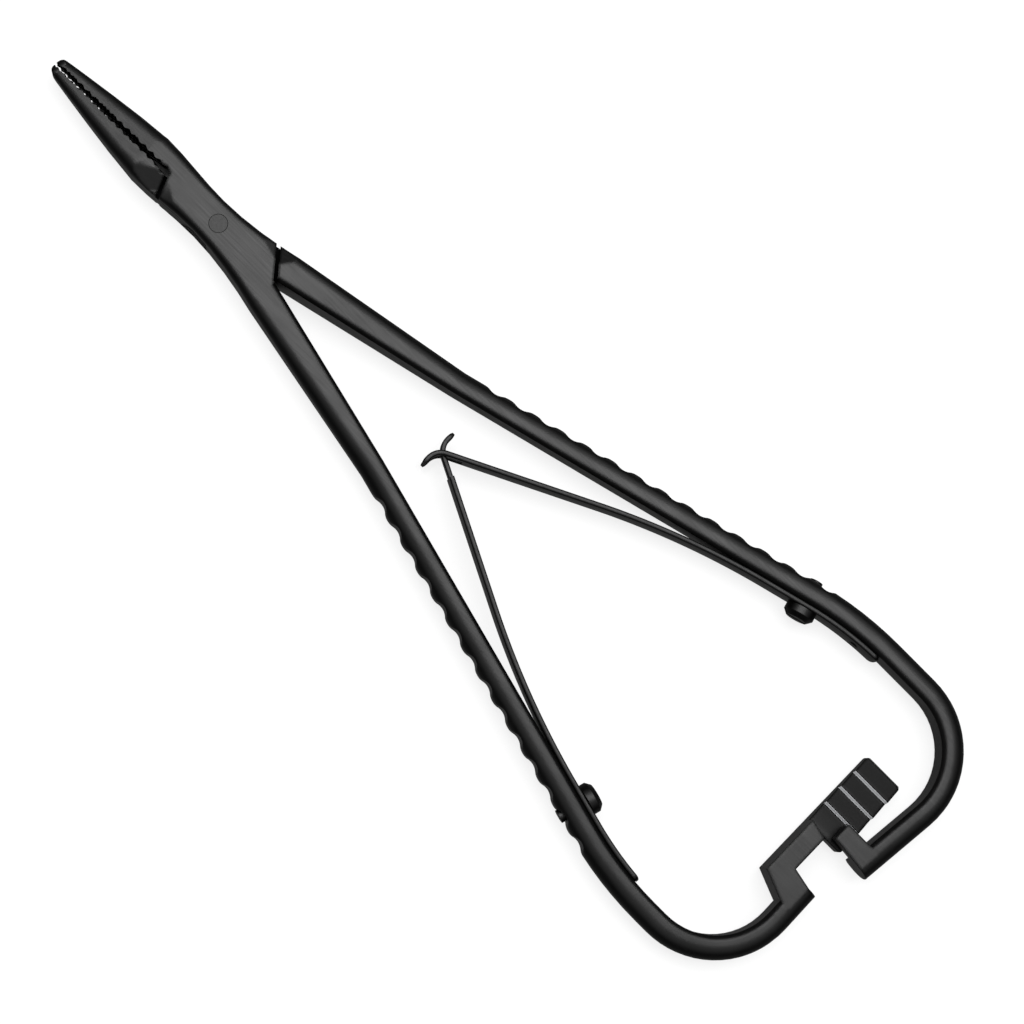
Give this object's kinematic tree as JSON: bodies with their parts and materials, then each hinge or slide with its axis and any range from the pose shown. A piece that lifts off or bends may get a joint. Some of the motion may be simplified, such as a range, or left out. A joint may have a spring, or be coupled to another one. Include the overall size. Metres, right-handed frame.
{
  "type": "surgical needle holder",
  "caption": "Locking surgical needle holder with cross-serrated jaws on a box lock, scalloped squeeze handles, interlocking leaf springs and a ratchet behind.",
  "frame": {"origin": "the pivot pin's axis, in the plane of the box's underside", "axes": "+X along the instrument to the jaw tips, +Y to the side of the box lever's handle, +Z along the pivot axis"},
  "size_m": [0.1722, 0.0572, 0.007],
  "materials": {
    "coated_steel": "stainless steel with a black satin coating over fine grinding marks",
    "pin_steel": "coated with the box and ground flush with it",
    "spring_steel": "black satin coated spring strip",
    "screw_steel": "black satin coated turned steel"
  },
  "bodies": {
    "box_lever": {"box_lever": "coated_steel", "pivot_pin": "pin_steel", "tongue_spring": "spring_steel", "tongue_spring_screw": "screw_steel", "tongue_spring_stud": "screw_steel"},
    "through_lever": {"through_lever": "coated_steel", "forked_spring": "spring_steel", "forked_spring_screw": "screw_steel", "forked_spring_stud": "screw_steel"}
  },
  "joints": [
    {"name": "box_lock_hinge", "type": "hinge", "parent": "box_lever", "child": "through_lever", "pos_m": [0, 0, 0.0035], "axis": [0, 0, 1], "range_deg": [-0.57, 20], "deforming": ["forked_spring", "tongue_spring"]}
  ]
}
